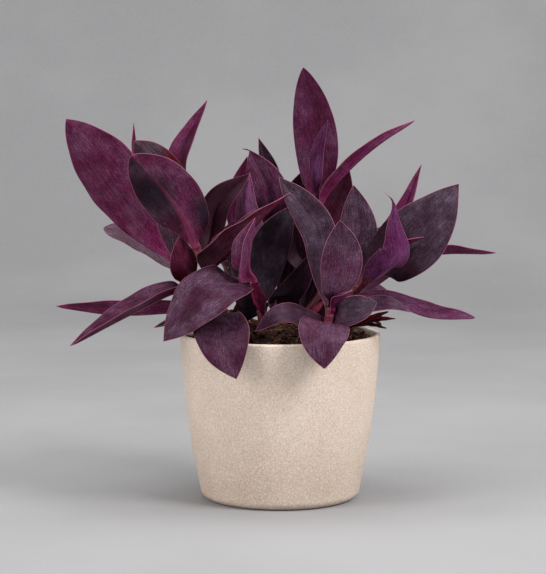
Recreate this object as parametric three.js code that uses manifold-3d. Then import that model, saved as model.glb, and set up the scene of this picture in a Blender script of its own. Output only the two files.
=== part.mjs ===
// Potted tradescantia: a plain round pot, its soil, nine rooted stems and the leaves they bear.
// Millimetres, +Z up, +Y away from the front; the origin is the middle of the pot's flat base.
import * as THREE from "three";
import { mergeVertices } from "three/addons/utils/BufferGeometryUtils.js";
import Module from "manifold-3d";

// ---- driving dimensions -------------------------------------------------------------------
const POT_HEIGHT = 116;
const POT_RIM_RADIUS = 70;
const POT_FOOT_RADIUS = 48;
const POT_WALL = 3.6;
const POT_FLOOR = 5;
const POT_SEGMENTS = 48;
const SIDE_TAPER = 4.9; // how far the side leans in by the foot, straight part
const SIDE_BELLY = 10.6; // and its curved part
const FOOT_ROUNDING_HEIGHT = 6;
const SIDE_STEPS = 8;
const ROUNDING_STEPS = 4;

const SOIL_EDGE_HEIGHT = 111; // where the soil meets the pot
const SOIL_CROWN_HEIGHT = 122; // middle of the mound
const SOIL_STEPS = 5;

const GAP = 0.35; // clearance between pieces that touch
const STEM_RADIUS = 2.7;
const STEM_SIDES = 8;
const STEM_STEPS = 10;
const ROOT_DEPTH = 16; // length of stem below the first point of its route

const LEAF_THICKNESS = 1.1; // at the midrib; the margins are sharp
const SHEATH_GAP = 0.6; // between a stem and the leaf bases round it
const SHEATH_LENGTH = 4; // the leaf base lies along its stem for this far
const NECK_LENGTH = 15; // the clasping base has opened into the blade by here
const NECK_SHARE = 0.4; // or, on a short leaf, by this share of its length
const NECK_ROWS = 5;
const FACE_SIDE_SHARE = 0.6; // how far the clasping base turns from the way the blade leaves
const CLASP_ANGLE = 0.8; // radians that each half of the base wraps round the stem
const BLADE_ROWS = [0, 0.12, 0.25, 0.39, 0.53, 0.67, 0.8, 0.92]; // shares of the rest of the leaf
const HALF_COLUMNS = 2;

// ---- colours --------------------------------------------------------------------------------
const POT_COLOUR = "#d5c2b3";
const SOIL_COLOUR = "#2b1d18";
const STEM_COLOUR = "#8d4a5e";
const LEAF_COLOURS = {
  slate: "#442f40",
  plum: "#562a48",
  magenta: "#6e2452",
  maroon: "#3c1324",
  violet: "#663560",
  dark: "#24121f",
  ash: "#6b5563",
};

// ---- the shoots -------------------------------------------------------------------------------
// stem: the route from the soil upwards. Each leaf grows from its stem at the fraction `at` of the
// stem's length; blade: points that the midrib passes through, the last one the tip; width: across
// the flattened blade; face: the way its upper side looks; fold: degrees that each half rises
// towards that side; widest: where along its length; taper: 1 for an even point, less for a blunt one.
const SHOOTS = {
  left: {
    stem: [[-46, -8, 120], [-61, -12, 146], [-73, -14, 168]],
    leaves: [
      { at: 0.97, blade: [[-91, -14, 187], [-117, -16, 226], [-146, -20, 265]], width: 46,
        face: [0.25, 0.95, 0.2], fold: 10, widest: 0.58, taper: 0.9, colour: "magenta" },
      { at: 0.8, blade: [[-92, 8, 178], [-124, 14, 188]], width: 26, face: [0, -0.6, 0.8], fold: 10,
        widest: 0.6, taper: 0.7, colour: "ash" },
      { at: 0.66, blade: [[-65, -33, 166], [-68, -36, 187]], width: 21, face: [-0.2, 0.9, 0.1], fold: 20,
        widest: 0.5, colour: "maroon" },
      { at: 0.52, blade: [[-69, -27, 147], [-100, -40, 134], [-142, -52, 113]], width: 26,
        face: [-0.3, -0.35, 0.9], fold: 42, colour: "plum" },
      { at: 0.4, blade: [[-76, -8, 131], [-112, -12, 130], [-155, -14, 136]], width: 29,
        face: [0, 0.3, 0.95], fold: 35, colour: "plum" },
      { at: 0.26, blade: [[-59, -16, 126], [-70, -20, 126], [-87, -22, 122]], width: 11,
        face: [0, -0.4, 0.9], fold: 30, colour: "maroon" },
      { at: 0.84, blade: [[-72, -27, 182], [-74, -32, 208], [-83, -39, 234], [-98, -46, 251]], width: 31,
        face: [0.1, 0.95, 0.1], fold: 8, widest: 0.62, taper: 0.8, colour: "ash" },
    ],
  },
  left_inner: {
    stem: [[-34, -22, 120], [-47, -27, 155], [-58, -33, 180]],
    leaves: [
      { at: 0.97, blade: [[-63, -47, 195], [-76, -58, 216], [-98, -74, 242]], width: 42,
        face: [0.1, 0.95, 0.05], fold: 20, widest: 0.5, taper: 0.72, colour: "plum" },
      { at: 0.95, blade: [[-62, -22, 190], [-69, -18, 233], [-50, -8, 278]], width: 21,
        face: [-0.5, -0.85, 0], fold: 30, colour: "magenta" },
      { at: 0.84, blade: [[-64, -14, 190], [-100, 6, 237], [-102, 10, 262]], width: 12,
        face: [0.3, -0.9, 0.3], fold: 40, colour: "magenta" },
      { at: 0.74, blade: [[-48, -18, 186], [-43, -15, 206], [-21, -8, 227]], width: 22,
        face: [-0.1, -0.9, 0.3], fold: 20, widest: 0.5, colour: "maroon" },
      { at: 0.7, blade: [[-42, -42, 168], [-28, -43, 182], [-12, -42, 199], [8, -40, 217]], width: 34,
        face: [-0.5, 0, 0.85], fold: 60, widest: 0.27, taper: 1.5, colour: "maroon" },
      { at: 0.3, blade: [[-42, -42, 134], [-40, -62, 128], [-36, -78, 114], [-29, -84, 95]], width: 37,
        face: [0, -0.9, 0.5], fold: 5, widest: 0.58, colour: "plum" },
    ],
  },
  front_left: {
    stem: [[-12, -26, 121], [-14, -28, 138], [-19, -30, 153]],
    leaves: [
      { at: 0.86, blade: [[-34, -52, 156], [-51, -63, 147], [-78, -68, 118]], width: 40,
        face: [-0.3, -0.8, 0.5], fold: 8, widest: 0.52, colour: "plum" },
      { at: 0.97, blade: [[-21, -44, 164], [-20, -54, 181], [-17, -57, 200]], width: 27,
        face: [-0.9, -0.45, 0], fold: 55, widest: 0.5, taper: 1.1, colour: "violet" },
      { at: 0.52, blade: [[-11, -19, 152], [-7, -17, 176], [9, -14, 206]], width: 27, face: [0, -1, 0.2],
        fold: 10, widest: 0.55, colour: "dark" },
    ],
  },
  center_back: {
    stem: [[-3, 8, 121], [-8, 12, 150], [-13, 16, 184]],
    leaves: [
      { at: 0.97, blade: [[-8, 7, 211], [-21, 4, 243]], width: 29, face: [0, -1, 0], fold: 12,
        widest: 0.5, colour: "plum" },
      { at: 0.85, blade: [[-10, 26, 190], [-7, 27, 223], [-15, 24, 251]], width: 18, face: [0, -1, 0.2],
        fold: 12, colour: "slate" },
      { at: 0.7, blade: [[-26, 31, 183], [-30, 31, 212], [-23, 30, 238]], width: 20,
        face: [0.2, -0.95, 0], fold: 20, colour: "magenta" },
      { at: 0.62, blade: [[-18, 3, 174], [-24, 0, 205], [-21, -2, 228]], width: 21, face: [0.3, 0.95, 0],
        fold: 20, colour: "violet" },
      { at: 0.38, blade: [[6, -5, 144], [15, -9, 156], [23, -10, 174]], width: 18, face: [0.2, 0.9, 0.1],
        fold: 20, colour: "dark" },
      { at: 0.5, blade: [[3, 17, 158], [8, 16, 177]], width: 18, face: [0, -1, 0.1], fold: 15,
        colour: "maroon" },
    ],
  },
  center: {
    stem: [[10, -2, 121], [19, -7, 132], [28, -6, 145], [26, 4, 172], [25, 8, 214]],
    leaves: [
      { at: 0.92, blade: [[26, 14, 240], [22, 12, 270], [16, 4, 300]], width: 31, face: [0, -1, 0.1],
        fold: 10, widest: 0.47, taper: 0.8, colour: "plum" },
      { at: 0.96, blade: [[24, -2, 222], [25, -5, 243], [33, -8, 264]], width: 13, face: [0.3, 0.95, 0],
        fold: 40, colour: "violet" },
      { at: 0.875, blade: [[35, 2, 215], [52, -4, 234], [71, -8, 250], [93, -8, 264]], width: 18,
        face: [-0.8, 0.1, 0.6], fold: 50, widest: 0.4, colour: "magenta" },
      { at: 0.76, blade: [[31, 16, 195], [39, 20, 208], [49, 20, 228]], width: 27, face: [0, -1, 0],
        fold: 15, colour: "maroon" },
      { at: 0.67, blade: [[17, 17, 188], [12, 20, 208], [17, 20, 229]], width: 25, face: [0.2, -1, 0.2],
        fold: 15, colour: "maroon" },
      { at: 0.52, blade: [[14, 8, 168], [10, 6, 180], [9, 4, 193]], width: 19, face: [0.2, -1, 0.2],
        fold: 15, colour: "maroon" },
      { at: 0.17, blade: [[23, 4, 143], [29, 10, 168]], width: 18, face: [0, -1, 0.1], fold: 15,
        colour: "maroon" },
    ],
  },
  front: {
    stem: [[31, -42, 120], [33, -44, 131], [34, -45, 138]],
    leaves: [
      { at: 0.97, blade: [[36, -52, 149], [41, -56, 170], [40, -54, 198]], width: 28,
        face: [0.05, -1, 0.1], fold: 8, widest: 0.58, colour: "plum" },
      { at: 0.94, blade: [[42, -63, 147], [48, -64, 152]], width: 10, face: [-0.3, -0.3, 0.9], fold: 60,
        colour: "magenta" },
      { at: 0.74, blade: [[29, -34, 155], [25, -30, 190], [-1, -32, 226]], width: 25, face: [0.2, -0.95, 0.2],
        fold: 10, widest: 0.6, colour: "plum" },
      { at: 0.6, blade: [[41, -48, 133], [52, -50, 138], [65, -46, 142]], width: 21,
        face: [0.1, -0.85, 0.5], fold: 8, widest: 0.5, taper: 0.8, colour: "slate" },
      { at: 0.38, blade: [[30, -62, 130], [28, -80, 121], [29, -86, 102]], width: 34, face: [0.1, -0.8, 0.7],
        fold: 4, widest: 0.55, colour: "magenta" },
      { at: 0.56, blade: [[19, -47, 131], [0, -60, 135], [-17, -62, 124]], width: 19, face: [0, -0.7, 0.7],
        fold: 10, colour: "plum" },
    ],
  },
  right: {
    stem: [[39, -4, 120], [48, -10, 140], [60, -16, 156]],
    leaves: [
      { at: 0.99, blade: [[71, -14, 166], [93, -25, 184], [122, -24, 221]], width: 47,
        face: [-0.2, -0.9, 0.35], fold: 8, widest: 0.42, taper: 1, colour: "slate" },
      { at: 0.77, blade: [[70, -42, 163], [79, -49, 173], [77, -53, 194], [75, -56, 211], [68, -58, 218]],
        width: 27, face: [-0.3, 0.9, 0.3], fold: 32, widest: 0.44, taper: 2.4, colour: "violet" },
      { at: 0.94, blade: [[69, -22, 167], [83, -33, 179], [97, -41, 186]], width: 13,
        face: [-0.6, 0.3, 0.75], fold: 40, colour: "magenta" },
      { at: 0.86, blade: [[53, -4, 162], [54, -2, 190], [51, 0, 219]], width: 28, face: [0, -1, 0.1],
        fold: 8, widest: 0.5, colour: "slate" },
      { at: 0.79, blade: [[62, 4, 160], [86, 6, 199], [99, 12, 233]], width: 18, face: [-0.4, -0.8, 0.3],
        fold: 35, widest: 0.42, colour: "magenta" },
      { at: 0.52, blade: [[67, 1, 149], [101, 2, 169], [152, 10, 171]], width: 23, face: [-0.4, 0.2, 0.9],
        fold: 25, colour: "magenta" },
      { at: 0.65, blade: [[68, -27, 143], [102, -25, 130], [135, -16, 128]], width: 24,
        face: [0.1, 0.15, 0.98], fold: 50, widest: 0.58, taper: 0.9, colour: "magenta" },
      { at: 0.38, blade: [[54, -30, 136], [73, -38, 140], [90, -36, 134]], width: 18, face: [0, -0.6, 0.8],
        fold: 10, colour: "slate" },
    ],
  },
  back_right: {
    stem: [[32, 30, 119], [36, 34, 142], [40, 38, 162]],
    leaves: [
      { at: 0.96, blade: [[72, 50, 172], [108, 60, 203]], width: 32, face: [-0.5, -0.5, 0.7], fold: 15,
        colour: "plum" },
      { at: 0.85, blade: [[42, 78, 168], [44, 108, 162]], width: 32, face: [0, -0.1, 1], fold: 12,
        colour: "slate" },
      { at: 0.7, blade: [[76, 46, 137], [108, 62, 122]], width: 26, face: [0, -0.1, 1], fold: 20,
        colour: "plum" },
    ],
  },
  back_left: {
    stem: [[-25, 32, 119], [-32, 36, 142], [-39, 40, 162]],
    leaves: [
      { at: 0.96, blade: [[-30, 52, 176], [-10, 58, 174], [16, 56, 153]], width: 32,
        face: [0, -0.9, 0.4], fold: 12, colour: "maroon" },
      { at: 0.85, blade: [[-34, 76, 168], [-40, 106, 160]], width: 32, face: [0, -0.1, 1], fold: 12,
        colour: "slate" },
      { at: 0.7, blade: [[-72, 50, 140], [-104, 62, 126]], width: 26, face: [0, -0.1, 1], fold: 20,
        colour: "plum" },
    ],
  },
};

// ---- small helpers ----------------------------------------------------------------------------
const wasm = await Module();
wasm.setup();

const vector = (xyz) => new THREE.Vector3(...xyz);
const smoothstep = (x) => THREE.MathUtils.smoothstep(x, 0, 1);

// Lays v square to the unit vector axis.
function squareTo(v, axis) {
  return v.clone().addScaledVector(axis, -v.dot(axis)).normalize();
}

function makeMesh(name, geometry, colour, roughness) {
  const material = new THREE.MeshStandardMaterial({ color: colour, roughness, metalness: 0 });
  const mesh = new THREE.Mesh(geometry, material);
  mesh.name = name;
  return mesh;
}

function toSolid(geometry) {
  const bare = geometry.clone();
  bare.deleteAttribute("normal");
  bare.deleteAttribute("uv");
  const merged = mergeVertices(bare);
  return new wasm.Manifold(new wasm.Mesh({
    numProp: 3,
    vertProperties: merged.attributes.position.array,
    triVerts: merged.index.array,
  }));
}

function toGeometry(solid) {
  const { vertProperties, triVerts } = solid.getMesh();
  const geometry = new THREE.BufferGeometry();
  geometry.setAttribute("position", new THREE.BufferAttribute(vertProperties, 3));
  geometry.setIndex(new THREE.BufferAttribute(triVerts, 1));
  return geometry;
}

// A lathe turns about its own Y axis, so the turned solid is stood up on Z.
function turned(profile) {
  const geometry = new THREE.LatheGeometry(profile, POT_SEGMENTS);
  geometry.rotateX(Math.PI / 2);
  return geometry;
}

// ---- pot --------------------------------------------------------------------------------------
function potRadius(height) {
  const drop = 1 - height / POT_HEIGHT;
  return POT_RIM_RADIUS - SIDE_TAPER * drop - SIDE_BELLY * drop * drop;
}

function potProfile() {
  const profile = [new THREE.Vector2(0, 0)];
  const roundTo = potRadius(FOOT_ROUNDING_HEIGHT);
  for (let i = 0; i <= ROUNDING_STEPS; i += 1) {
    const angle = (Math.PI / 2) * (i / ROUNDING_STEPS);
    profile.push(new THREE.Vector2(
      POT_FOOT_RADIUS + (roundTo - POT_FOOT_RADIUS) * Math.sin(angle),
      FOOT_ROUNDING_HEIGHT * (1 - Math.cos(angle)),
    ));
  }
  const lip = POT_WALL / 2;
  const straightTop = POT_HEIGHT - lip;
  for (let i = 1; i <= SIDE_STEPS; i += 1) {
    const height = THREE.MathUtils.lerp(FOOT_ROUNDING_HEIGHT, straightTop, i / SIDE_STEPS);
    profile.push(new THREE.Vector2(potRadius(height), height));
  }
  for (let i = 1; i <= ROUNDING_STEPS; i += 1) {
    const angle = Math.PI * (i / ROUNDING_STEPS);
    const middle = potRadius(straightTop) - lip;
    profile.push(new THREE.Vector2(middle + lip * Math.cos(angle), straightTop + lip * Math.sin(angle)));
  }
  for (let i = SIDE_STEPS - 1; i >= 0; i -= 1) {
    const height = THREE.MathUtils.lerp(POT_FLOOR, straightTop, i / SIDE_STEPS);
    profile.push(new THREE.Vector2(potRadius(height) - POT_WALL, height));
  }
  profile.push(new THREE.Vector2(0, POT_FLOOR));
  return profile;
}

// ---- soil -------------------------------------------------------------------------------------
function soilProfile() {
  const inside = (height) => potRadius(height) - POT_WALL - GAP;
  const profile = [new THREE.Vector2(0, POT_FLOOR + GAP)];
  for (let i = 0; i <= SIDE_STEPS; i += 1) {
    const height = THREE.MathUtils.lerp(POT_FLOOR + GAP, SOIL_EDGE_HEIGHT, i / SIDE_STEPS);
    profile.push(new THREE.Vector2(inside(height), height));
  }
  const edge = inside(SOIL_EDGE_HEIGHT);
  for (let i = SOIL_STEPS - 1; i >= 0; i -= 1) {
    const share = i / SOIL_STEPS;
    const rise = 1 - share * share;
    const height = THREE.MathUtils.lerp(SOIL_EDGE_HEIGHT, SOIL_CROWN_HEIGHT, rise);
    profile.push(new THREE.Vector2(edge * share, height));
  }
  return profile;
}

// ---- stems ------------------------------------------------------------------------------------
function stemCurve(shoot) {
  const points = shoot.stem.map(vector);
  const root = points[0].clone();
  root.z -= ROOT_DEPTH;
  return new THREE.CatmullRomCurve3([root, ...points]);
}

function tube(curve, radius) {
  const section = new THREE.Shape();
  for (let i = 0; i < STEM_SIDES; i += 1) {
    const angle = 2 * Math.PI * (i / STEM_SIDES);
    const corner = [radius * Math.cos(angle), radius * Math.sin(angle)];
    if (i === 0) section.moveTo(...corner);
    else section.lineTo(...corner);
  }
  return new THREE.ExtrudeGeometry(section, { steps: STEM_STEPS, bevelEnabled: false, extrudePath: curve });
}

// ---- leaves -----------------------------------------------------------------------------------
// The share of full width at t along the blade: none at the base and tip, all of it at `widest`.
function bladeShare(t, widest, taper) {
  const swell = (taper * widest) / (1 - widest);
  return (t / widest) ** swell * ((1 - t) / (1 - widest)) ** taper;
}

// Half of a leaf's section, from the midrib outwards: across the blade, and up towards its face.
function halfSection(halfWidth, fold, clasp) {
  const points = [];
  let across = 0;
  let up = 0;
  for (let i = 0; i < HALF_COLUMNS; i += 1) {
    const wrapped = CLASP_ANGLE * ((i + 0.5) / HALF_COLUMNS);
    const slope = THREE.MathUtils.lerp(fold, wrapped, clasp);
    across += (halfWidth / HALF_COLUMNS) * Math.cos(slope);
    up += (halfWidth / HALF_COLUMNS) * Math.sin(slope);
    points.push({ across, up, slope });
  }
  return points;
}

// The side of the stem that a leaf grows from: between the side its blade leaves by and the side
// where the upper face, carried back down the midrib, would look at the stem.
function growingSide(onStem, up, start, face) {
  const leaving = start.clone().sub(onStem).normalize();
  const carried = new THREE.Quaternion().setFromUnitVectors(leaving, up);
  const faceSide = squareTo(squareTo(face, leaving).applyQuaternion(carried).negate(), up);
  const leavingSide = squareTo(leaving, up);
  return squareTo(leavingSide.lerp(faceSide, FACE_SIDE_SHARE), up);
}

// A closed thin solid. Every row is a ring: the upper side from margin to margin, then back below.
function leafGeometry(stem, leaf) {
  const { at, blade, width, face, fold, widest = 0.45, taper = 1 } = leaf;
  const onStem = stem.getPointAt(at);
  const up = stem.getTangentAt(at);
  const outward = growingSide(onStem, up, vector(blade[0]), vector(face));
  const base = onStem.clone().addScaledVector(outward, STEM_RADIUS + SHEATH_GAP);
  const sheathEnd = base.clone().addScaledVector(up, SHEATH_LENGTH);
  const midrib = new THREE.CatmullRomCurve3([base, sheathEnd, ...blade.map(vector)]);
  const length = midrib.getLength();
  const foldAngle = THREE.MathUtils.degToRad(fold);
  const claspWidth = (STEM_RADIUS + SHEATH_GAP) * CLASP_ANGLE;

  const neck = Math.min(NECK_LENGTH / length, NECK_SHARE);
  const rows = [];
  for (let i = 0; i < NECK_ROWS; i += 1) rows.push(neck * (i / NECK_ROWS));
  for (const share of BLADE_ROWS) rows.push(THREE.MathUtils.lerp(neck, 1, share));

  const ringSize = 4 * HALF_COLUMNS;
  const positions = [];
  for (const t of rows) {
    const clasp = 1 - smoothstep(t / neck);
    const along = midrib.getTangentAt(t);
    const facing = outward.clone().negate().multiplyScalar(clasp).addScaledVector(vector(face), 1 - clasp);
    const normal = squareTo(facing, along);
    const side = along.clone().cross(normal);
    const halfWidth = THREE.MathUtils.lerp((width / 2) * bladeShare(t, widest, taper), claspWidth, clasp);
    const half = halfSection(halfWidth, foldAngle, clasp);
    const middle = midrib.getPointAt(t);
    const place = (sign, across, rise, slope, depth) => middle.clone()
      .addScaledVector(side, sign * (across + depth * Math.sin(slope)))
      .addScaledVector(normal, rise - depth * Math.cos(slope));
    const upper = [place(1, 0, 0, 0, 0)];
    const lower = [place(1, 0, 0, 0, LEAF_THICKNESS)];
    half.forEach(({ across, up: rise, slope }, i) => {
      const depth = LEAF_THICKNESS * (1 - (i + 1) / HALF_COLUMNS);
      for (const sign of [-1, 1]) {
        const atUpper = place(sign, across, rise, slope, 0);
        const atLower = place(sign, across, rise, slope, depth);
        if (sign < 0) {
          upper.unshift(atUpper);
          lower.unshift(atLower);
        } else {
          upper.push(atUpper);
          lower.push(atLower);
        }
      }
    });
    const ring = [...upper, ...lower.slice(1, -1).reverse()];
    ring.forEach((point) => positions.push(...point.toArray()));
  }
  positions.push(...midrib.getPointAt(1).toArray());

  const index = [];
  const tip = rows.length * ringSize;
  const columns = 2 * HALF_COLUMNS;
  for (let j = 0; j < ringSize; j += 1) {
    const next = (j + 1) % ringSize;
    for (let i = 0; i < rows.length - 1; i += 1) {
      const here = i * ringSize;
      const ahead = here + ringSize;
      // the upper and the lower side split along the same diagonal, so thin margins can't cross
      const [a, b, c, d] = [here + j, here + next, ahead + next, ahead + j];
      if (j < columns) index.push(a, b, c, a, c, d);
      else index.push(a, b, d, b, c, d);
    }
    const last = tip - ringSize;
    index.push(last + j, last + next, tip);
  }
  const below = (j) => (j === 0 ? 0 : ringSize - j);
  for (let j = 0; j < columns; j += 1) {
    if (j > 0) index.push(j, below(j), j + 1);
    if (j < columns - 1) index.push(j + 1, below(j), below(j + 1));
  }
  const geometry = new THREE.BufferGeometry();
  geometry.setAttribute("position", new THREE.Float32BufferAttribute(positions, 3));
  geometry.setIndex(index);
  geometry.computeVertexNormals();
  return geometry;
}

// ---- assembly ---------------------------------------------------------------------------------
const plant = new THREE.Group();
plant.add(makeMesh("pot", turned(potProfile()), POT_COLOUR, 0.75));

let soil = toSolid(turned(soilProfile()));
for (const [name, shoot] of Object.entries(SHOOTS)) {
  const curve = stemCurve(shoot);
  soil = soil.subtract(toSolid(tube(curve, STEM_RADIUS + GAP)));
  const group = new THREE.Group();
  group.add(makeMesh(`stem_${name}`, tube(curve, STEM_RADIUS), STEM_COLOUR, 0.55));
  shoot.leaves.forEach((leaf, i) => {
    const leafName = `leaf_${name}_${i + 1}`;
    group.add(makeMesh(leafName, leafGeometry(curve, leaf), LEAF_COLOURS[leaf.colour], 0.5));
  });
  plant.add(group);
}
plant.add(makeMesh("soil", toGeometry(soil), SOIL_COLOUR, 0.95));

export default plant;
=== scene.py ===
# Potted tradescantia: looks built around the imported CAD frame. Tables are in millimetres, meshes in metres.
import math

import bpy
import numpy as np
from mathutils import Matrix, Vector


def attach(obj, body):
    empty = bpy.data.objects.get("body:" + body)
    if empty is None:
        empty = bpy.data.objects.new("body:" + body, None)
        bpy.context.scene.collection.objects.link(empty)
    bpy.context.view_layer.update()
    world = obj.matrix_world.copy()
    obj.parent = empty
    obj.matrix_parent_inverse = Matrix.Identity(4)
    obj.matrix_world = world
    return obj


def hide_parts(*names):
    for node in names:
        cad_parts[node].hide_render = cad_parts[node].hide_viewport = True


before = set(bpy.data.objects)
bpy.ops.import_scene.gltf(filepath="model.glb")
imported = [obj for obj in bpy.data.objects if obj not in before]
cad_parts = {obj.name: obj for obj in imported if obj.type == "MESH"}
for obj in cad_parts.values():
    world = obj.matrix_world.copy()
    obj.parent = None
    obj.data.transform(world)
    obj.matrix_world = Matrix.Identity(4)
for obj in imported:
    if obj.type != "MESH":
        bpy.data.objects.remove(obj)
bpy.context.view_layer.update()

MM = 0.001

# ---- driving sizes, as in the CAD part --------------------------------------------------------
POT_HEIGHT = 116.0
POT_RIM_RADIUS = 70.0
POT_FOOT_RADIUS = 48.0
POT_WALL = 3.6
POT_INSIDE_FLOOR = 20.0  # hidden under the soil
SIDE_TAPER = 4.9
SIDE_BELLY = 10.6
FOOT_ROUNDING_HEIGHT = 6.0
SOIL_EDGE_HEIGHT = 111.0
SOIL_CROWN_HEIGHT = 122.0
SOIL_BED_FLOOR = 96.0  # the bed shows only from above
BARK_CHIPS = 420
DRY_ROOTS = 230
STEM_RADIUS = 2.7
SHEATH_GAP = 0.6
SHEATH_LENGTH = 4.0
ROOT_DEPTH = 16.0
NECK_LENGTH = 15.0
NECK_SHARE = 0.4
FACE_SIDE_SHARE = 0.6
CLASP_ANGLE = 0.8
LEAF_THICKNESS = 1.05

# ---- colours: the upper side, the under side, and the base near the sheath, as sRGB 0 to 255 ----
LEAF_COLOURS = {
    "slate": ((46, 26, 40), (70, 18, 48), (84, 22, 52)),
    "plum": ((66, 14, 46), (78, 14, 52), (104, 26, 66)),
    "magenta": ((86, 14, 58), (94, 14, 62), (146, 22, 94)),
    "maroon": ((54, 5, 26), (60, 5, 28), (96, 20, 40)),
    "dark": ((22, 8, 19), (34, 8, 24), (44, 12, 28)),
    "violet": ((80, 28, 66), (92, 36, 82), (112, 28, 76)),
    "lilac": ((90, 40, 72), (98, 52, 84), (128, 28, 80)),
    "ash": ((80, 58, 70), (84, 62, 74), (100, 58, 78)),
}


def leaf(at, blade, width, face, fold, colour, widest=0.45, taper=1.0):
    """One row of SHOOTS, with the meanings that the CAD part gives these names."""
    return dict(at=at, blade=blade, width=width, face=face, fold=fold, colour=colour,
                widest=widest, taper=taper)


# What a leaf shows beyond its row. Each name has a default, given in make_leaf.
# blush: how far the pink of its base reaches, in mm. keel and band: how strongly the midrib shows as a
# pink line, and half of that line's width, in mm. dust: how much of the leaf's own grey bloom
# it carries, together with a painted sheen of the light; low on leaves deep in shade. wave: how much
# its margins ruffle. colour: another entry of LEAF_COLOURS than its row's; tip: the entry that its end
# turns to. shade: how light all of it is, or its base and its tip, partly the leaf's own tone and partly
# painted light and shade, lowest for leaves deep inside the plant. halves: the same for its two halves,
# as painted light and shade where one half of a folded leaf faces the light and the other lies in shade.
# patches: spots of another colour, each as (share of the length, share of the half width from the
# midrib, radius in mm, colour); some are the leaf's own colour, others painted shadow on parts of a
# blade in shade. A "shoot_" entry's shade darkens a stem with painted shade.
LOOKS = {
    # Stems: shade darkens each one with painted shade, the deeper inside the plant the darker.
    "shoot_left": dict(shade=0.6),
    "shoot_left_inner": dict(shade=0.9),
    "shoot_front_left": dict(shade=0.6),
    "shoot_front": dict(shade=0.8),
    "shoot_right": dict(shade=0.7),
    "left_1": dict(blush=46, dust=1.7, shade=0.78),
    "left_2": dict(shade=1.1, dust=1.6),
    "left_3": dict(shade=1.9),
    "left_4": dict(keel=0.5, wave=0.3, dust=1.2),
    "left_5": dict(wave=0.3, shade=1.45, dust=1.6),
    "left_7": dict(shade=0.85, patches=[(0.74, -0.9, 15, (92, 26, 28))]),
    # left_inner_1 and left_inner_2: halves as painted light and shade on the two sides of a folded blade;
    # left_inner_1's two dark patches are painted shadow.
    "left_inner_1": dict(keel=0.5, band=2.6, blush=40, dust=1.4, halves=(1.1, 0.4),
                         patches=[(0.24, -0.9, 20, (30, 14, 26)), (0.62, 0.35, 22, (32, 18, 30))]),
    "left_inner_2": dict(keel=0.4, shade=0.75, halves=(1.25, 0.7), dust=0.8),
    "left_inner_4": dict(shade=0.55, dust=0.15),
    # Painted shade: these blades are darker where they lie under other leaves.
    "left_inner_5": dict(shade=(0.4, 1.6), dust=0.8),
    "left_inner_6": dict(shade=(0.2, 0.8), dust=0.9),
    "front_left_1": dict(dust=1.3, shade=0.7),
    "front_left_2": dict(colour="lilac", blush=40, shade=1.15, keel=0.5, band=1.0, dust=1.4),
    "front_left_3": dict(shade=0.7, dust=0.5),
    "center_back_1": dict(shade=1.2),
    "center_back_4": dict(colour="lilac", shade=1.5, dust=1.2),
    "center_back_5": dict(shade=0.9, dust=0.5),
    "center_back_6": dict(shade=0.4, dust=0.2),
    "back_left_1": dict(shade=0.35, dust=0.1),
    "center_1": dict(keel=0.2, shade=1.3, dust=0.7),
    "center_2": dict(shade=0.65, dust=0.7),
    "center_3": dict(wave=0.3, keel=0.3, shade=1.2, dust=2.0),
    "center_4": dict(shade=1.25, dust=0.3),
    "center_5": dict(shade=1.2, dust=0.6),
    # center_6 and center_7 sit deep inside the plant: their low shade and little sheen are painted shade.
    "center_6": dict(shade=0.25, dust=0.1),
    "center_7": dict(shade=0.25, dust=0.1),
    "front_1": dict(tip="slate", blush=14, shade=1.05, dust=1.1),
    "front_2": dict(colour="plum", shade=1.1, blush=10),
    "front_3": dict(colour="slate", shade=0.95, dust=1.1),
    "front_4": dict(shade=0.9, dust=1.1),
    "front_5": dict(colour="plum", dust=1.2, shade=0.85),
    "front_6": dict(shade=0.35, dust=0.6),
    # Painted shade: dark patches where the base of the blade lies in shadow.
    "right_1": dict(dust=1.3, patches=[(0.12, 0.0, 30, (34, 8, 20)), (0.3, -0.6, 26, (38, 8, 24)),
                                       (0.3, 0.6, 24, (38, 8, 24))]),
    "right_2": dict(blush=30, shade=1.1, patches=[(0.1, 0.0, 18, (92, 38, 46))]),
    "right_3": dict(shade=0.9),
    "right_4": dict(shade=1.9, dust=1.7),
    "right_7": dict(colour="lilac", wave=0.3, shade=1.5, dust=1.5),
    "right_8": dict(shade=2.1, dust=1.3),
}

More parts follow.
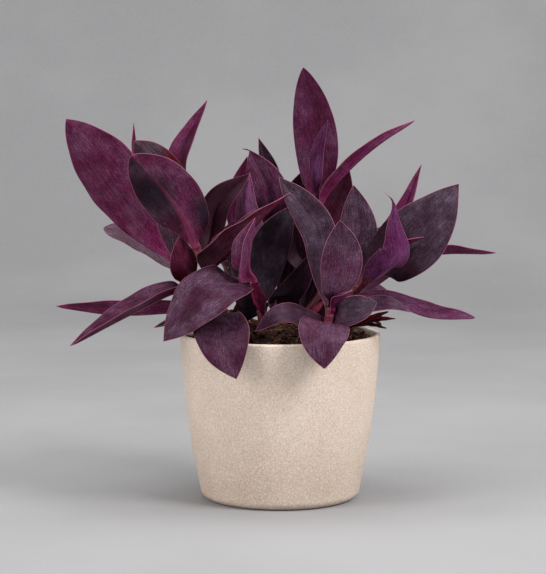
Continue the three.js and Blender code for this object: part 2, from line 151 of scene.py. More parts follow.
# For each shoot its stem's route, then its leaves. The rows repeat the CAD part's own, because the frame
# carries the solids but not the rows that they were made from: when those change, these have to.
SHOOTS = {
    "left": ([(-46, -8, 120), (-61, -12, 146), (-73, -14, 168)], [
        leaf(0.97, [(-91, -14, 187), (-117, -16, 226), (-146, -20, 265)],
             46, (0.25, 0.95, 0.2), 10, "magenta", widest=0.58, taper=0.9),
        leaf(0.8, [(-92, 8, 178), (-124, 14, 188)], 26, (0, -0.6, 0.8), 10, "ash", widest=0.6, taper=0.7),
        leaf(0.66, [(-65, -33, 166), (-68, -36, 187)], 21, (-0.2, 0.9, 0.1), 20, "maroon", widest=0.5),
        leaf(0.52, [(-69, -27, 147), (-100, -40, 134), (-142, -52, 113)],
             26, (-0.3, -0.35, 0.9), 42, "plum"),
        leaf(0.4, [(-76, -8, 131), (-112, -12, 130), (-155, -14, 136)], 29, (0, 0.3, 0.95), 35, "plum"),
        leaf(0.26, [(-59, -16, 126), (-70, -20, 126), (-87, -22, 122)], 11, (0, -0.4, 0.9), 30, "maroon"),
        leaf(0.84, [(-72, -27, 182), (-74, -32, 208), (-83, -39, 234), (-98, -46, 251)],
             31, (0.1, 0.95, 0.1), 8, "ash", widest=0.62, taper=0.8),
    ]),
    "left_inner": ([(-34, -22, 120), (-47, -27, 155), (-58, -33, 180)], [
        leaf(0.97, [(-63, -47, 195), (-76, -58, 216), (-98, -74, 242)],
             42, (0.1, 0.95, 0.05), 20, "plum", widest=0.5, taper=0.72),
        leaf(0.95, [(-62, -22, 190), (-69, -18, 233), (-50, -8, 278)], 21, (-0.5, -0.85, 0), 30, "magenta"),
        leaf(0.84, [(-64, -14, 190), (-100, 6, 237), (-102, 10, 262)], 12, (0.3, -0.9, 0.3), 40, "magenta"),
        leaf(0.74, [(-48, -18, 186), (-43, -15, 206), (-21, -8, 227)],
             22, (-0.1, -0.9, 0.3), 20, "maroon", widest=0.5),
        leaf(0.7, [(-42, -42, 168), (-28, -43, 182), (-12, -42, 199), (8, -40, 217)],
             34, (-0.5, 0, 0.85), 60, "maroon", widest=0.27, taper=1.5),
        leaf(0.3, [(-42, -42, 134), (-40, -62, 128), (-36, -78, 114), (-29, -84, 95)],
             37, (0, -0.9, 0.5), 5, "plum", widest=0.58),
    ]),
    "front_left": ([(-12, -26, 121), (-14, -28, 138), (-19, -30, 153)], [
        leaf(0.86, [(-34, -52, 156), (-51, -63, 147), (-78, -68, 118)],
             40, (-0.3, -0.8, 0.5), 8, "plum", widest=0.52),
        leaf(0.97, [(-21, -44, 164), (-20, -54, 181), (-17, -57, 200)],
             27, (-0.9, -0.45, 0), 55, "violet", widest=0.5, taper=1.1),
        leaf(0.52, [(-11, -19, 152), (-7, -17, 176), (9, -14, 206)],
             27, (0, -1, 0.2), 10, "dark", widest=0.55),
    ]),
    "center_back": ([(-3, 8, 121), (-8, 12, 150), (-13, 16, 184)], [
        leaf(0.97, [(-8, 7, 211), (-21, 4, 243)], 29, (0, -1, 0), 12, "plum", widest=0.5),
        leaf(0.85, [(-10, 26, 190), (-7, 27, 223), (-15, 24, 251)], 18, (0, -1, 0.2), 12, "slate"),
        leaf(0.7, [(-26, 31, 183), (-30, 31, 212), (-23, 30, 238)], 20, (0.2, -0.95, 0), 20, "magenta"),
        leaf(0.62, [(-18, 3, 174), (-24, 0, 205), (-21, -2, 228)], 21, (0.3, 0.95, 0), 20, "violet"),
        leaf(0.38, [(6, -5, 144), (15, -9, 156), (23, -10, 174)], 18, (0.2, 0.9, 0.1), 20, "dark"),
        leaf(0.5, [(3, 17, 158), (8, 16, 177)], 18, (0, -1, 0.1), 15, "maroon"),
    ]),
    "center": ([(10, -2, 121), (19, -7, 132), (28, -6, 145), (26, 4, 172), (25, 8, 214)], [
        leaf(0.92, [(26, 14, 240), (22, 12, 270), (16, 4, 300)],
             31, (0, -1, 0.1), 10, "plum", widest=0.47, taper=0.8),
        leaf(0.96, [(24, -2, 222), (25, -5, 243), (33, -8, 264)], 13, (0.3, 0.95, 0), 40, "violet"),
        leaf(0.875, [(35, 2, 215), (52, -4, 234), (71, -8, 250), (93, -8, 264)],
             18, (-0.8, 0.1, 0.6), 50, "magenta", widest=0.4),
        leaf(0.76, [(31, 16, 195), (39, 20, 208), (49, 20, 228)], 27, (0, -1, 0), 15, "maroon"),
        leaf(0.67, [(17, 17, 188), (12, 20, 208), (17, 20, 229)], 25, (0.2, -1, 0.2), 15, "maroon"),
        leaf(0.52, [(14, 8, 168), (10, 6, 180), (9, 4, 193)], 19, (0.2, -1, 0.2), 15, "maroon"),
        leaf(0.17, [(23, 4, 143), (29, 10, 168)], 18, (0, -1, 0.1), 15, "maroon"),
    ]),
    "front": ([(31, -42, 120), (33, -44, 131), (34, -45, 138)], [
        leaf(0.97, [(36, -52, 149), (41, -56, 170), (40, -54, 198)],
             28, (0.05, -1, 0.1), 8, "plum", widest=0.58),
        leaf(0.94, [(42, -63, 147), (48, -64, 152)], 10, (-0.3, -0.3, 0.9), 60, "magenta"),
        leaf(0.74, [(29, -34, 155), (25, -30, 190), (-1, -32, 226)],
             25, (0.2, -0.95, 0.2), 10, "plum", widest=0.6),
        leaf(0.6, [(41, -48, 133), (52, -50, 138), (65, -46, 142)],
             21, (0.1, -0.85, 0.5), 8, "slate", widest=0.5, taper=0.8),
        leaf(0.38, [(30, -62, 130), (28, -80, 121), (29, -86, 102)],
             34, (0.1, -0.8, 0.7), 4, "magenta", widest=0.55),
        leaf(0.56, [(19, -47, 131), (0, -60, 135), (-17, -62, 124)], 19, (0, -0.7, 0.7), 10, "plum"),
    ]),
    "right": ([(39, -4, 120), (48, -10, 140), (60, -16, 156)], [
        leaf(0.99, [(71, -14, 166), (93, -25, 184), (122, -24, 221)],
             47, (-0.2, -0.9, 0.35), 8, "slate", widest=0.42, taper=1),
        leaf(0.77, [(70, -42, 163), (79, -49, 173), (77, -53, 194), (75, -56, 211), (68, -58, 218)],
             27, (-0.3, 0.9, 0.3), 32, "violet", widest=0.44, taper=2.4),
        leaf(0.94, [(69, -22, 167), (83, -33, 179), (97, -41, 186)], 13, (-0.6, 0.3, 0.75), 40, "magenta"),
        leaf(0.86, [(53, -4, 162), (54, -2, 190), (51, 0, 219)], 28, (0, -1, 0.1), 8, "slate", widest=0.5),
        leaf(0.79, [(62, 4, 160), (86, 6, 199), (99, 12, 233)],
             18, (-0.4, -0.8, 0.3), 35, "magenta", widest=0.42),
        leaf(0.52, [(67, 1, 149), (101, 2, 169), (152, 10, 171)], 23, (-0.4, 0.2, 0.9), 25, "magenta"),
        leaf(0.65, [(68, -27, 143), (102, -25, 130), (135, -16, 128)],
             24, (0.1, 0.15, 0.98), 50, "magenta", widest=0.58, taper=0.9),
        leaf(0.38, [(54, -30, 136), (73, -38, 140), (90, -36, 134)], 18, (0, -0.6, 0.8), 10, "slate"),
    ]),
    "back_right": ([(32, 30, 119), (36, 34, 142), (40, 38, 162)], [
        leaf(0.96, [(72, 50, 172), (108, 60, 203)], 32, (-0.5, -0.5, 0.7), 15, "plum"),
        leaf(0.85, [(42, 78, 168), (44, 108, 162)], 32, (0, -0.1, 1), 12, "slate"),
        leaf(0.7, [(76, 46, 137), (108, 62, 122)], 26, (0, -0.1, 1), 20, "plum"),
    ]),
    "back_left": ([(-25, 32, 119), (-32, 36, 142), (-39, 40, 162)], [
        leaf(0.96, [(-30, 52, 176), (-10, 58, 174), (16, 56, 153)], 32, (0, -0.9, 0.4), 12, "maroon"),
        leaf(0.85, [(-34, 76, 168), (-40, 106, 160)], 32, (0, -0.1, 1), 12, "slate"),
        leaf(0.7, [(-72, 50, 140), (-104, 62, 126)], 26, (0, -0.1, 1), 20, "plum"),
    ]),
}


# ---- small helpers ----------------------------------------------------------------------------
def linear(rgb):
    """sRGB 0 to 255 as linear 0 to 1."""
    c = np.asarray(rgb, float) / 255
    return np.where(c <= 0.04045, c / 12.92, ((c + 0.055) / 1.055) ** 2.4)


def lerp(a, b, t):
    return a + (b - a) * t


def smoothstep(x):
    x = np.clip(x, 0, 1)
    return x * x * (3 - 2 * x)


def unit(v):
    v = np.asarray(v, float)
    return v / max(np.linalg.norm(v), 1e-9)


def square_to(v, axis):
    return unit(v - axis * (v @ axis))


class Path:
    """A centripetal Catmull-Rom curve through the points, walked by arc length from 0 to 1."""

    def __init__(self, points, per_span=60):
        p = np.asarray(points, float)
        p = np.vstack([2 * p[0] - p[1], p, 2 * p[-1] - p[-2]])
        out = []
        for a, b, c, d in zip(p, p[1:], p[2:], p[3:]):
            t0, t1, t2 = (np.linalg.norm(y - x) ** 0.5 for x, y in ((a, b), (b, c), (c, d)))
            m1 = ((b - a) / t0 - (c - a) / (t0 + t1) + (c - b) / t1) * t1
            m2 = ((c - b) / t1 - (d - b) / (t1 + t2) + (d - c) / t2) * t1
            t = np.linspace(0, 1, per_span, endpoint=False)[:, None]
            out.append(b + m1 * t + (-3 * b + 3 * c - 2 * m1 - m2) * t ** 2
                       + (2 * b - 2 * c + m1 + m2) * t ** 3)
        self.points = np.vstack([*out, p[-2][None]])
        steps = np.linalg.norm(np.diff(self.points, axis=0), axis=1)
        self.length = steps.sum()
        self.share = np.concatenate([[0], np.cumsum(steps)]) / self.length

    def at(self, t):
        return np.stack([np.interp(t, self.share, self.points[:, k]) for k in range(3)], axis=-1)

    def tangent(self, t):
        d = self.at(np.minimum(np.asarray(t) + 0.006, 1)) - self.at(np.maximum(np.asarray(t) - 0.006, 0))
        return d / np.linalg.norm(d, axis=-1, keepdims=True)


class Build:
    """Collects vertices, faces and per-vertex numbers of one piece, then makes the object."""

    def __init__(self, *numbers):
        self.verts, self.faces, self.count = [], [], 0
        self.numbers = {k: [] for k in numbers}

    def add(self, verts, faces, **numbers):
        verts = np.asarray(verts, float)
        self.verts.append(verts)
        self.faces += [tuple(int(i) + self.count for i in f) for f in faces]
        self.count += len(verts)
        for k, rows in self.numbers.items():
            rows.append(np.broadcast_to(np.asarray(numbers[k], float).reshape(-1, 3 if k == "tint" else 1),
                                        (len(verts), 3 if k == "tint" else 1)))

    def make(self, name, material, replaces=(), smooth=True):
        mesh = bpy.data.meshes.new(name)
        mesh.from_pydata((np.vstack(self.verts) * MM).tolist(), [], self.faces)
        for k, rows in self.numbers.items():
            values = np.vstack(rows)
            if k == "tint":
                made = mesh.attributes.new(k, "FLOAT_COLOR", "POINT")
                made.data.foreach_set("color", np.c_[values, np.ones(len(values))].astype(np.float32).ravel())
            else:
                made = mesh.attributes.new(k, "FLOAT", "POINT")
                made.data.foreach_set("value", values.astype(np.float32).ravel())
        mesh.polygons.foreach_set("use_smooth", [smooth] * len(mesh.polygons))
        mesh.materials.append(material)
        mesh.update()
        piece = bpy.data.objects.new(name, mesh)
        bpy.context.scene.collection.objects.link(piece)
        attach(piece, "root")
        if replaces:
            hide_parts(*replaces)


def grid_faces(rows, columns, loop=False, flip=False):
    """Quads of a grid stored row by row."""
    faces = []
    for i in range(rows - 1):
        for j in range(columns if loop else columns - 1):
            k = (j + 1) % columns
            quad = (i * columns + j, i * columns + k, (i + 1) * columns + k, (i + 1) * columns + j)
            faces.append(quad[::-1] if flip else quad)
    return faces


def strip_faces(rows, columns):
    """A closed thin strip: a grid for its upper side, one for its lower side, then one point, its tip."""
    count = rows * columns
    last = count - columns
    faces = grid_faces(rows, columns)
    faces += [tuple(count + i for i in f) for f in grid_faces(rows, columns, flip=True)]
    for i in range(rows - 1):
        a, b = i * columns, (i + 1) * columns
        faces.append((a, b, count + b, count + a))
        a, b = a + columns - 1, b + columns - 1
        faces.append((count + a, count + b, b, a))
    for j in range(columns - 1):
        faces.append((j + 1, j, count + j, count + j + 1))
        faces.append((last + j, last + j + 1, 2 * count))
        faces.append((count + last + j + 1, count + last + j, 2 * count))
    faces.append((last, 2 * count, count + last))
    faces.append((last + columns - 1, count + last + columns - 1, 2 * count))
    return faces


# ---- materials --------------------------------------------------------------------------------
class Nodes:
    """A material's node tree, written as nested calls."""

    def __init__(self, name):
        self.material = bpy.data.materials.new(name)
        self.material.use_nodes = True
        self.tree = self.material.node_tree
        self.shader = self.tree.nodes["Principled BSDF"]

    def set(self, socket, value):
        if isinstance(value, bpy.types.NodeSocket):
            self.tree.links.new(value, socket)
        elif hasattr(value, "__len__") and len(value) == 3 and len(socket.default_value) == 4:
            socket.default_value = (*value, 1)
        else:
            socket.default_value = value

    def node(self, kind, output=0, props=(), **inputs):
        made = self.tree.nodes.new(kind)
        for k, v in dict(props).items():
            setattr(made, k, v)
        for k, v in inputs.items():
            key = int(k[1:]) if k[0] == "_" else k.replace("_", " ").capitalize()
            self.set(made.inputs[key], v)
        return made.outputs[output]

    def number(self, name):
        return self.node("ShaderNodeAttribute", "Fac", {"attribute_name": name})

    def colour(self, name):
        return self.node("ShaderNodeAttribute", "Color", {"attribute_name": name})

    def place(self):
        return self.node("ShaderNodeTexCoord", "Object")

    def math(self, operation, a, b=0.0, c=0.0):
        return self.node("ShaderNodeMath", 0, {"operation": operation}, _0=a, _1=b, _2=c)

    def noise(self, vector, scale, detail=3.0, roughness=0.55):
        return self.node("ShaderNodeTexNoise", 0, {}, Vector=vector, Scale=scale, Detail=detail,
                         Roughness=roughness)

    def ramp(self, value, low, high, to_low=0.0, to_high=1.0):
        return self.node("ShaderNodeMapRange", 0, {"interpolation_type": "SMOOTHSTEP"},
                         _0=value, _1=low, _2=high, _3=to_low, _4=to_high)

    def mix(self, factor, a, b, blend="MIX"):
        made = self.tree.nodes.new("ShaderNodeMix")
        made.data_type = "RGBA"
        made.blend_type = blend
        self.set(made.inputs[0], factor)
        self.set(made.inputs[6], a)
        self.set(made.inputs[7], b)
        return made.outputs[2]

    def combine(self, x, y, z):
        return self.node("ShaderNodeCombineXYZ", 0, {}, X=x, Y=y, Z=z)

    def bump(self, height, distance, strength=1.0, normal=None):
        made = self.tree.nodes.new("ShaderNodeBump")
        made.inputs["Strength"].default_value = strength
        made.inputs["Distance"].default_value = distance
        self.set(made.inputs["Height"], height)
        if normal is not None:
            self.set(made.inputs["Normal"], normal)
        return made.outputs[0]

    def finish(self, colour, roughness, normal=None, **constants):
        self.set(self.shader.inputs["Base Color"], colour)
        self.set(self.shader.inputs["Roughness"], roughness)
        if normal is not None:
            self.set(self.shader.inputs["Normal"], normal)
        for k, v in constants.items():
            self.set(self.shader.inputs[k.replace("_", " ").title().replace("Ior", "IOR")], v)
        return self.material


def leaf_material():
    n = Nodes("leaf")
    across, along, rim = n.number("across"), n.number("along"), n.number("rim")
    upper, seed, keel, band = n.number("upper"), n.number("seed"), n.number("keel"), n.number("band")
    dust = n.number("dust")
    place = n.place()
    veins = n.noise(n.combine(n.math("MULTIPLY", across, 0.9), n.math("MULTIPLY", along, 0.05), seed), 1.0,
                    detail=2.0, roughness=0.6)
    lines = n.noise(n.combine(n.math("MULTIPLY", across, 1.5), n.math("MULTIPLY", along, 0.14), seed), 1.0,
                    detail=2.0, roughness=0.7)
    clouds = n.noise(place, 62.0, detail=3.0, roughness=0.6)
    mottle = n.noise(place, 240.0, detail=3.0, roughness=0.6)
    grain = n.noise(place, 1300.0, detail=2.0, roughness=0.7)
    colour = n.colour("tint")
    dark = n.mix(1.0, colour, linear((150, 140, 148)), "MULTIPLY")
    colour = n.mix(n.ramp(veins, 0.6, 0.38, 0.0, 0.5), colour, dark)
    wine = n.mix(1.0, colour, linear((232, 160, 184)), "MULTIPLY")
    colour = n.mix(n.ramp(clouds, 0.5, 0.34, 0.0, 0.6), colour, wine)
    # Grey bloom and painted sheen: the leaf's own grey bloom together with a painted sheen of soft light,
    # laid in clouds, stronger on the upper side and scaled per leaf.
    bloom_and_sheen_grey = n.mix(1.0, colour, linear((72, 63, 74)), "ADD")
    bloom_and_sheen_mask = n.math("MULTIPLY", n.ramp(clouds, 0.38, 0.72, 0.15, 0.8), n.ramp(mottle, 0.36, 0.64, 0.6, 0.95))
    bloom_and_sheen_mask = n.math("MULTIPLY", bloom_and_sheen_mask, n.ramp(lines, 0.3, 0.7, 0.75, 1.08))
    bloom_and_sheen_mask = n.math("MULTIPLY", bloom_and_sheen_mask, n.math("MULTIPLY_ADD", upper, 0.35, 0.65))
    bloom_and_sheen_mask = n.math("MULTIPLY", bloom_and_sheen_mask, dust)
    colour = n.mix(bloom_and_sheen_mask, colour, bloom_and_sheen_grey)
    speck = n.math("MULTIPLY", n.ramp(grain, 0.36, 0.66, 0.6, 1.5), n.ramp(lines, 0.34, 0.66, 0.76, 1.24))
    colour = n.mix(1.0, colour, n.combine(speck, speck, speck), "MULTIPLY")
    beyond = n.math("SUBTRACT", n.math("ABSOLUTE", across), band)
    colour = n.mix(n.math("MULTIPLY", n.ramp(beyond, 1.1, -0.4), keel), colour, linear((146, 58, 92)))
    colour = n.mix(n.ramp(rim, 1.3, 0.5, 0.0, 0.35), colour, linear((34, 4, 20)))
    # The pale pink margin, painted dimmer on leaves with little bloom and sheen, the ones deep in shade.
    edge = n.math("MULTIPLY", n.ramp(rim, 0.42, 0.18), n.ramp(dust, 0.2, 1.0, 0.2, 0.64))
    colour = n.mix(edge, colour, linear((178, 104, 126)))
    rough = n.math("ADD", n.ramp(grain, 0.3, 0.7, 0.42, 0.58), n.math("MULTIPLY", bloom_and_sheen_mask, 0.1))
    height = n.math("ADD", n.math("MULTIPLY", veins, 1.0), n.math("MULTIPLY", lines, 0.35))
    normal = n.bump(height, 0.0005, 0.6)
    normal = n.bump(mottle, 0.0005, 0.4, normal)
    normal = n.bump(grain, 0.0002, 0.5, normal)
    return n.finish(colour, rough, normal, specular_ior_level=0.14,
                    specular_tint=(1.0, 0.7, 0.9))


def stem_material():
    n = Nodes("stem")
    around, along = n.number("around"), n.number("along")
    streak = n.noise(n.combine(n.math("MULTIPLY", around, 2.2), n.math("MULTIPLY", along, 0.08), 0.0), 1.0,
                     detail=3.0)
    patch = n.noise(n.place(), 180.0, detail=2.0)
    grain = n.noise(n.place(), 1800.0, detail=2.0)
    colour = n.colour("tint")
    colour = n.mix(n.ramp(streak, 0.4, 0.62, 0.0, 0.5), colour, linear((118, 44, 68)))
    colour = n.mix(n.ramp(patch, 0.5, 0.72, 0.0, 0.45), colour, linear((176, 112, 108)))
    speck = n.ramp(grain, 0.3, 0.7, 0.82, 1.15)
    colour = n.mix(1.0, colour, n.combine(speck, speck, speck), "MULTIPLY")
    normal = n.bump(streak, 0.0005, 0.5)
    normal = n.bump(grain, 0.0002, 0.3, normal)
    return n.finish(colour, n.ramp(patch, 0.3, 0.7, 0.36, 0.5), normal, specular_ior_level=0.5)


def pot_material():
    n = Nodes("pot")
    place = n.place()
    clouds = n.noise(place, 16.0, detail=4.0, roughness=0.6)
    patches = n.noise(place, 55.0, detail=3.0, roughness=0.6)
    grain = n.noise(place, 1000.0, detail=2.0, roughness=0.7)
    sand = n.noise(place, 2600.0, detail=2.0, roughness=0.7)
    colour = n.mix(n.ramp(clouds, 0.34, 0.66), linear((210, 190, 172)), linear((220, 202, 186)))
    # Painted shade: the pot's colour darkens towards its foot.
    height = n.node("ShaderNodeSeparateXYZ", "Z", {}, Vector=place)
    colour = n.mix(n.ramp(height, 0.075, 0.0, 0.0, 0.75), colour, linear((188, 166, 146)))
    colour = n.mix(n.ramp(patches, 0.35, 0.65, 0.0, 0.35), colour, linear((222, 203, 189)))
    colour = n.mix(n.ramp(grain, 0.5, 0.7, 0.0, 0.6), colour, linear((176, 154, 136)))
    colour = n.mix(n.ramp(grain, 0.5, 0.34, 0.0, 0.6), colour, linear((240, 226, 214)))
    colour = n.mix(n.ramp(sand, 0.55, 0.75, 0.0, 0.6), colour, linear((244, 232, 220)))
    normal = n.bump(grain, 0.0003, 0.5)
    normal = n.bump(patches, 0.0008, 0.35, normal)
    normal = n.bump(sand, 0.00012, 0.5, normal)
    return n.finish(colour, n.ramp(grain, 0.3, 0.7, 0.62, 0.78), normal, specular_ior_level=0.35)


def soil_material(name, warm):
    n = Nodes(name)
    place = n.place()
    crumbs = n.noise(place, 420.0, detail=4.0, roughness=0.7)
    stretched = n.node("ShaderNodeMapping", 0, {}, Vector=place, Scale=(260.0, 900.0, 500.0))
    fibre = n.noise(stretched, 1.0, detail=3.0)
    colour = n.mix(n.ramp(crumbs, 0.35, 0.7), n.colour("tint"), linear(warm))
    colour = n.mix(n.ramp(fibre, 0.58, 0.75, 0.0, 0.5), colour, linear((120, 84, 62)))
    normal = n.bump(crumbs, 0.0012, 0.9)
    normal = n.bump(fibre, 0.0004, 0.6, normal)
    return n.finish(colour, n.ramp(crumbs, 0.3, 0.7, 0.78, 0.96), normal, specular_ior_level=0.3)


def floor_material():
    n = Nodes("floor")
    place = n.place()
    clouds = n.noise(place, 3.0, detail=4.0, roughness=0.55)
    grain = n.noise(place, 260.0, detail=3.0, roughness=0.7)
    colour = n.mix(n.ramp(clouds, 0.35, 0.65), linear((150, 149, 150)), linear((159, 158, 159)))
    colour = n.mix(n.ramp(grain, 0.35, 0.7, 0.0, 0.25), colour, linear((170, 169, 170)))
    return n.finish(colour, n.ramp(grain, 0.3, 0.7, 0.75, 0.9), n.bump(grain, 0.0004, 0.3),
                    specular_ior_level=0.3)


LEAF = leaf_material()
STEM = stem_material()
POT = pot_material()
SOIL = soil_material("soil", (52, 30, 24))
BARK = soil_material("bark", (74, 42, 32))


# ---- pot --------------------------------------------------------------------------------------
def pot_radius(height):
    drop = 1 - height / POT_HEIGHT
    return POT_RIM_RADIUS - SIDE_TAPER * drop - SIDE_BELLY * drop * drop


def turned(profile, segments, build):
    """Turns a profile of (radius, height) that starts and ends on the axis."""
    inner = np.array(profile[1:-1])
    angle = np.linspace(0, 2 * math.pi, segments, endpoint=False)
    ring = np.stack([np.cos(angle), np.sin(angle)], axis=1)
    verts = [np.c_[ring * r, np.full(segments, z)] for r, z in inner]
    verts.append(np.array([[0, 0, profile[0][1]], [0, 0, profile[-1][1]]]))
    faces = grid_faces(len(inner), segments, loop=True)
    first, last = len(inner) * segments, len(inner) * segments + 1
    top = (len(inner) - 1) * segments
    for j in range(segments):
        k = (j + 1) % segments
        faces.append((first, k, j))
        faces.append((last, top + j, top + k))
    build.add(np.vstack(verts), faces)


def make_pot():
    """The pot, open down to POT_INSIDE_FLOOR, with a slight hollow under its foot."""
    profile = [(0, 0.9), (POT_FOOT_RADIUS - 7, 0.9), (POT_FOOT_RADIUS - 5.4, 0.7)]
    profile += [(POT_FOOT_RADIUS - 4.2, 0.0), (POT_FOOT_RADIUS - 2, 0.0)]
    side = pot_radius(FOOT_ROUNDING_HEIGHT)
    for a in np.linspace(0, math.pi / 2, 9):
        profile.append((POT_FOOT_RADIUS + (side - POT_FOOT_RADIUS) * math.sin(a),
                        FOOT_ROUNDING_HEIGHT * (1 - math.cos(a))))
    lip = POT_WALL / 2
    straight = POT_HEIGHT - lip
    profile += [(pot_radius(h), h) for h in np.linspace(FOOT_ROUNDING_HEIGHT, straight, 34)[1:]]
    middle = pot_radius(straight) - lip
    for a in np.linspace(0, math.pi, 11)[1:]:
        profile.append((middle + lip * math.cos(a), straight + lip * math.sin(a)))
    profile += [(pot_radius(h) - POT_WALL, h) for h in np.linspace(straight, POT_INSIDE_FLOOR, 12)[1:]]
    profile.append((0, POT_INSIDE_FLOOR))
    build = Build()
    turned(profile, 160, build)
    build.make("pot_body", POT, ["pot"])


# ---- soil -------------------------------------------------------------------------------------
def soil_height(x, y):
    share = np.hypot(x, y) / 66.0
    return lerp(SOIL_EDGE_HEIGHT, SOIL_CROWN_HEIGHT, 1 - share * share)


def ripple(x, y, seed, size):
    """Smooth lumps of about `size` mm, from a few sines laid at odd angles."""
    rng = np.random.default_rng(seed)
    total = np.zeros_like(np.asarray(x, float))
    for _ in range(10):
        a, p, k = rng.uniform(0, 2 * math.pi), rng.uniform(0, 2 * math.pi), rng.uniform(0.7, 1.6)
        total += np.sin((x * math.cos(a) + y * math.sin(a)) * k * 2 * math.pi / size + p)
    return total / 10 ** 0.5


def make_soil():
    rings, spokes = 46, 150
    radius = pot_radius(SOIL_EDGE_HEIGHT) - POT_WALL - 0.2
    r = np.linspace(0.02, 1, rings)[:, None] * radius
    angle = np.linspace(0, 2 * math.pi, spokes, endpoint=False)[None]
    x, y = r * np.cos(angle), r * np.sin(angle)
    edge = smoothstep((radius - r) / 6)
    z = soil_height(x, y) + edge * (0.8 * ripple(x, y, 3, 16) + 0.5 * ripple(x, y, 4, 5)) - 0.6
    top = np.stack([x, y, z], axis=-1).reshape(-1, 3)
    low = np.stack([x[-1] * 0.97, y[-1] * 0.97, np.full(spokes, SOIL_BED_FLOOR)], axis=-1)
    verts = np.vstack([top, low, [[0, 0, z[0].mean()], [0, 0, SOIL_BED_FLOOR]]])
    faces = grid_faces(rings + 1, spokes, loop=True)
    centre, under = len(verts) - 2, len(verts) - 1
    last = rings * spokes
    for j in range(spokes):
        k = (j + 1) % spokes
        faces.append((centre, j, k))
        faces.append((under, last + k, last + j))
    build = Build("tint")
    shade = 0.75 + 0.35 * ripple(verts[:, 0], verts[:, 1], 5, 11)
    build.add(verts, faces, tint=linear((34, 20, 17)) * np.clip(shade, 0.3, 1.6)[:, None])
    build.make("soil_bed", SOIL, ["soil"])


def make_bark(rng):
    """Chips of bark lying on the soil, each a flattened, chipped block."""
    build = Build("tint")
    base = np.array([(x, y, z) for x in (-1, 0, 1) for y in (-1, 1) for z in (-1, 1)], float)
    faces = [(0, 1, 3, 2), (8, 10, 11, 9), (0, 4, 5, 1), (4, 8, 9, 5), (2, 3, 7, 6), (6, 7, 11, 10),
             (0, 2, 6, 4), (4, 6, 10, 8), (1, 5, 7, 3), (5, 9, 11, 7)]
    colours = [(40, 20, 18), (62, 32, 26), (100, 56, 40), (22, 12, 12), (132, 86, 60)]
    for _ in range(BARK_CHIPS):
        r, a = 62 * math.sqrt(rng.uniform(0, 1)), rng.uniform(0, 2 * math.pi)
        x, y = r * math.cos(a), r * math.sin(a)
        size = np.array([rng.uniform(1.6, 5.2), rng.uniform(1.0, 2.6), rng.uniform(0.4, 1.2)])
        block = base * size * rng.uniform(0.7, 1.25, base.shape)
        spin, tip, roll = rng.uniform(0, 2 * math.pi), rng.normal(0, 0.35), rng.normal(0, 0.35)
        cz, sz, cx, sx, cy, sy = (f(v) for v in (spin, tip, roll) for f in (math.cos, math.sin))
        turn = (np.array([[cz, -sz, 0], [sz, cz, 0], [0, 0, 1]])
                @ np.array([[1, 0, 0], [0, cx, -sx], [0, sx, cx]])
                @ np.array([[cy, 0, sy], [0, 1, 0], [-sy, 0, cy]]))
        lift = soil_height(x, y) + rng.uniform(-0.4, 0.9)
        shade = linear(colours[rng.choice(5, p=[0.34, 0.26, 0.14, 0.2, 0.06])]) * rng.uniform(0.6, 1.3)
        build.add(block @ turn.T + (x, y, lift), faces, tint=shade)
    build.make("soil_bark", BARK, smooth=False)


def tube(path, radii, sides, build, **numbers):
    """A closed round tube along a Path; radii has one entry a row.
    A number may be a function of the angle around the tube and the share of its length."""
    rows = len(radii)
    t = np.linspace(0, 1, rows)
    centre, forward = path.at(t), path.tangent(t)
    side = square_to(np.array([0.31, 0.87, 0.38]), forward[0])
    verts, around = [], []
    angle = np.linspace(0, 2 * math.pi, sides, endpoint=False)
    for c, f, r in zip(centre, forward, radii):
        side = square_to(side, f)
        up = np.cross(f, side)
        verts.append(c + r * (np.cos(angle)[:, None] * side + np.sin(angle)[:, None] * up))
        around.append(angle)
    verts = np.vstack([*verts, centre[:1], centre[-1:]])
    faces = grid_faces(rows, sides, loop=True)
    first, last = rows * sides, rows * sides + 1
    for j in range(sides):
        k = (j + 1) % sides
        faces.append((first, k, j))
        faces.append((last, (rows - 1) * sides + j, (rows - 1) * sides + k))
    share = np.concatenate([np.repeat(t, sides), [0, 1]])
    turn = np.concatenate([np.concatenate(around), [0, 0]])
    given = {k: (v(turn, share) if callable(v) else v) for k, v in numbers.items()}
    build.add(verts, faces, **given)


def make_fibres(rng):
    """Thin dry roots and coir strands lying in curls on the soil."""
    build = Build("tint")
    for _ in range(DRY_ROOTS):
        r, a = 60 * math.sqrt(rng.uniform(0.02, 1)), rng.uniform(0, 2 * math.pi)
        heading, points = rng.uniform(0, 2 * math.pi), []
        x, y = r * math.cos(a), r * math.sin(a)
        for k in range(5):
            z = soil_height(x, y) + rng.uniform(0.0, 1.8)
            points.append((x, y, z))
            heading += rng.normal(0, 0.5)
            step = rng.uniform(1.5, 4.2)
            x, y = x + step * math.cos(heading), y + step * math.sin(heading)
            if math.hypot(x, y) > 63.5:
                break
        if len(points) < 3:
            continue
        shade = linear((186, 138, 96)) * rng.uniform(0.15, 1.0)
        tube(Path(points, 6), np.linspace(0.38, 0.14, 12), 5, build, tint=shade)
    build.make("soil_fibres", BARK)


# ---- leaves -----------------------------------------------------------------------------------
def growing_side(on_stem, up, start, face):
    """The side of the stem that a leaf grows from, as in the CAD part."""
    leaving = unit(start - on_stem)
    carried = Vector(leaving).rotation_difference(Vector(up))
    faced = np.array(carried @ Vector(square_to(face, leaving)))
    face_side = square_to(-faced, up)
    return square_to(face_side * FACE_SIDE_SHARE + square_to(leaving, up) * (1 - FACE_SIDE_SHARE), up)


def blade_share(t, widest, taper):
    """The share of full width at t along the blade: none at the base and tip, all of it at `widest`."""
    swell = taper * widest / (1 - widest)
    return (t / widest) ** swell * ((1 - t) / (1 - widest)) ** taper


# shares of the half width: close together at the midrib and at the margin
COLUMNS = np.array([0, 0.04, 0.1, 0.19, 0.3, 0.42, 0.54, 0.66, 0.78, 0.9, 1.0])
